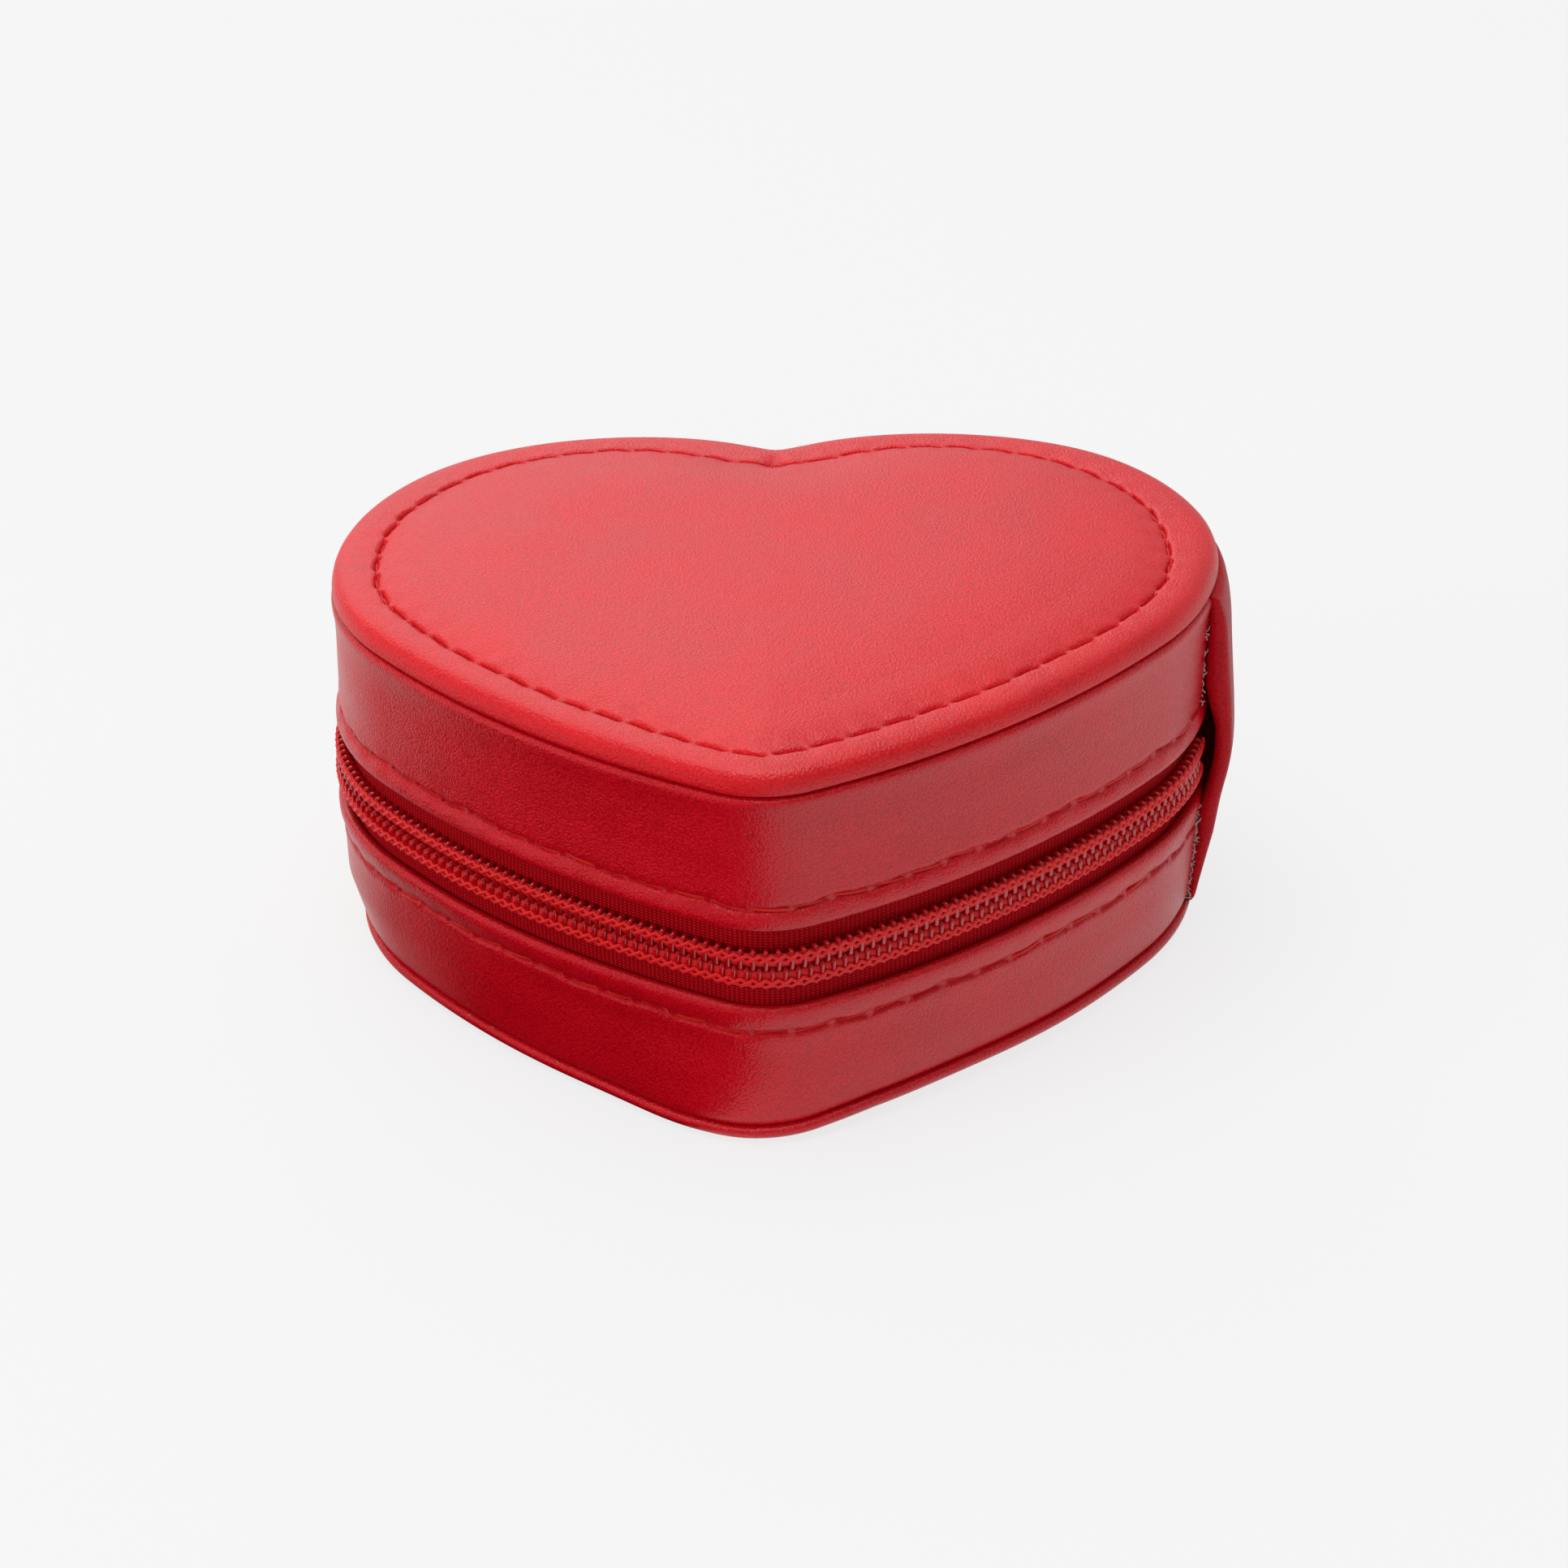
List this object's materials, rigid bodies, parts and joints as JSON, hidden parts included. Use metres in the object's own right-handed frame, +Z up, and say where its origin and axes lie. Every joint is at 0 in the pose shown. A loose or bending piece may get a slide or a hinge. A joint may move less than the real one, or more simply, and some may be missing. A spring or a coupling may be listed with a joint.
{
  "type": "zip-round jewellery case",
  "caption": "Heart-shaped jewellery case in red leathercloth, with a padded stitched lid on a leather spine, a zip round its side, ring rolls and a lid mirror.",
  "frame": {"origin": "middle of the heart's outline on the underside of the sole, where the case rests", "axes": "+X across the lobes to the spine side, +Y from the tip to the notch, +Z up"},
  "size_m": [0.1033, 0.084, 0.0479],
  "materials": {
    "red_leathercloth": "fine grain, satin sheen",
    "foam": "open-cell foam",
    "cord": "twisted filler cord",
    "board": "plain greyboard",
    "pile_lining": "short flocked pile",
    "mirror": "silvered glass",
    "zip_tape": "woven tape",
    "zip_coil": "dyed nylon coil",
    "gold_metal": "polished, light gold"
  },
  "bodies": {
    "base": {"sole": "red_leathercloth", "base_board": "board", "base_side_band": "red_leathercloth", "base_wall_board": "board", "base_floor_lining": "pile_lining", "base_wall_lining": "pile_lining", "ring_roll_1": "pile_lining", "ring_roll_2": "pile_lining", "ring_roll_3": "pile_lining", "cross_divider": "pile_lining", "centre_divider": "pile_lining", "zip_tape_lower": "zip_tape", "zip_coil_lower": "zip_coil", "spine_leaf_base": "red_leathercloth"},
    "lid": {"lid_top_cover": "red_leathercloth", "lid_foam_pad": "foam", "lid_rim_cord": "cord", "lid_top_board": "board", "lid_side_band": "red_leathercloth", "lid_wall_board": "board", "lid_ceiling_lining": "pile_lining", "lid_wall_lining": "pile_lining", "mirror": "mirror", "mirror_frame": "pile_lining", "zip_tape_upper": "zip_tape", "zip_coil_upper": "zip_coil", "spine_leaf_lid": "red_leathercloth"},
    "slider": {"zip_slider": "gold_metal"},
    "pull": {"zip_pull": "gold_metal"}
  },
  "joints": [
    {"name": "lid_hinge", "type": "hinge", "parent": "base", "child": "lid", "pos_m": [0.05194, 0.01955, 0.0222], "axis": [-0.2756, 0.9613, 0], "range_deg": [0, 110]},
    {"name": "slider_run", "type": "hinge", "parent": "base", "child": "slider", "pos_m": [0.0183, 0.0099, 0.0222], "axis": [0, 0, 1], "range_deg": [0, 49]},
    {"name": "pull_swing", "type": "hinge", "parent": "slider", "child": "pull", "pos_m": [0.03794, 0.04001, 0.0222], "axis": [0.8375, -0.5464, 0], "range_deg": [-8, 170]}
  ]
}
